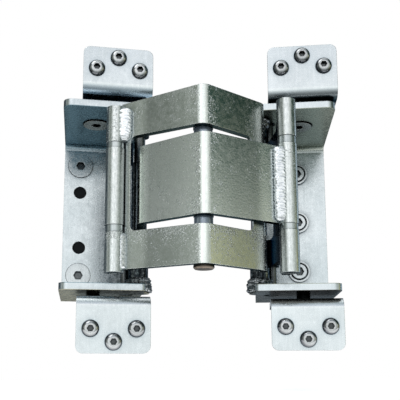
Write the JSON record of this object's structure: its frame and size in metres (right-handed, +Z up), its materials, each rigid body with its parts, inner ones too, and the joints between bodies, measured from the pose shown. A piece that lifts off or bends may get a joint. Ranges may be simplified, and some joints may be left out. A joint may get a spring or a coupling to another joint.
{
  "type": "concealed hinge",
  "caption": "Heavy plate concealed hinge: two folded brackets with screw tabs, joined by two crossed arms and two links that fold into the brackets.",
  "frame": {"origin": "centre of the left bracket's back face, which lies on the frame or wall it is fixed to", "axes": "+Y out of the back of the left bracket, +Z up along the pivots, +X towards the right bracket; the hinge is at rest fully open"},
  "size_m": [0.2629, 0.1963, 0.2687],
  "materials": {
    "bracket_zinc": "bright zinc plate, fine speckle",
    "tab_zinc": "bright zinc plate",
    "button_screw": "polished plated screw",
    "base_screw": "plated screw",
    "flange_fastener": "plated screw and nut",
    "arm_zinc": "zinc plate, speckled and scratched",
    "link_zinc": "zinc plate",
    "spacer_ring": "dark plated ring",
    "barrel_ring": "bright plated ring",
    "weld_bead": "plated weld bead",
    "boss_weld": "rough dark weld round a pivot boss",
    "centre_pin": "bare steel, brown",
    "plug_black": "matt black plug",
    "pin_steel": "ground steel"
  },
  "bodies": {
    "left_side": {"left_base_plugs": "plug_black", "left_base_screws": "base_screw", "left_boss_welds": "boss_weld", "left_bottom_tab": "tab_zinc", "left_bottom_tab_screws": "button_screw", "left_bracket": "bracket_zinc", "left_fixed_pin": "pin_steel", "left_flange_nuts": "flange_fastener", "left_flange_screws": "flange_fastener", "left_top_tab": "tab_zinc", "left_top_tab_screws": "button_screw"},
    "inner_arm": {"inner_arm": "arm_zinc", "inner_arm_weld": "weld_bead"},
    "outer_arm": {"outer_arm": "arm_zinc", "outer_arm_weld": "weld_bead", "centre_pin": "centre_pin", "centre_rings": "spacer_ring", "left_barrel_pin": "pin_steel", "left_barrel_rings": "barrel_ring"},
    "right_side": {"right_base_collars": "base_screw", "right_base_screws": "base_screw", "right_boss_welds": "boss_weld", "right_bottom_tab": "tab_zinc", "right_bottom_tab_screws": "button_screw", "right_bracket": "bracket_zinc", "right_fixed_pin": "pin_steel", "right_flange_nuts": "flange_fastener", "right_flange_screws": "flange_fastener", "right_top_tab": "tab_zinc", "right_top_tab_screws": "button_screw"},
    "left_link": {"left_link": "link_zinc", "left_link_pins": "pin_steel"},
    "right_link": {"right_link": "link_zinc", "right_link_pins": "pin_steel", "right_barrel_pin": "pin_steel", "right_barrel_rings": "barrel_ring"}
  },
  "joints": [
    {"name": "fold", "type": "hinge", "parent": "left_side", "child": "inner_arm", "pos_m": [0.032, -0.087, 0], "axis": [0, 0, -1], "range_deg": [0, 91.11]},
    {"name": "arm_cross", "type": "hinge", "parent": "inner_arm", "child": "outer_arm", "pos_m": [0.07529, -0.16196, 0], "axis": [0, 0, -1], "range_deg": [-18.22, 0]},
    {"name": "right_side_pivot", "type": "hinge", "parent": "outer_arm", "child": "right_side", "pos_m": [0.13756, -0.10184, 0], "axis": [0, 0, -1], "range_deg": [0, 91.11]},
    {"name": "left_link_pivot", "type": "hinge", "parent": "outer_arm", "child": "left_link", "pos_m": [0.008, -0.131, 0], "axis": [0, 0, -1], "range_deg": [0, 23.23]},
    {"name": "right_link_pivot", "type": "hinge", "parent": "inner_arm", "child": "right_link", "pos_m": [0.14851, -0.15075, 0], "axis": [0, 0, -1], "range_deg": [-23.23, 0]}
  ],
  "couplings": [
    {"joint": "arm_cross", "follows": "fold", "ratio": -0.2},
    {"joint": "right_side_pivot", "follows": "fold", "ratio": 1},
    {"joint": "left_link_pivot", "follows": "fold", "ratio": 0.25494},
    {"joint": "right_link_pivot", "follows": "fold", "ratio": -0.25494}
  ]
}
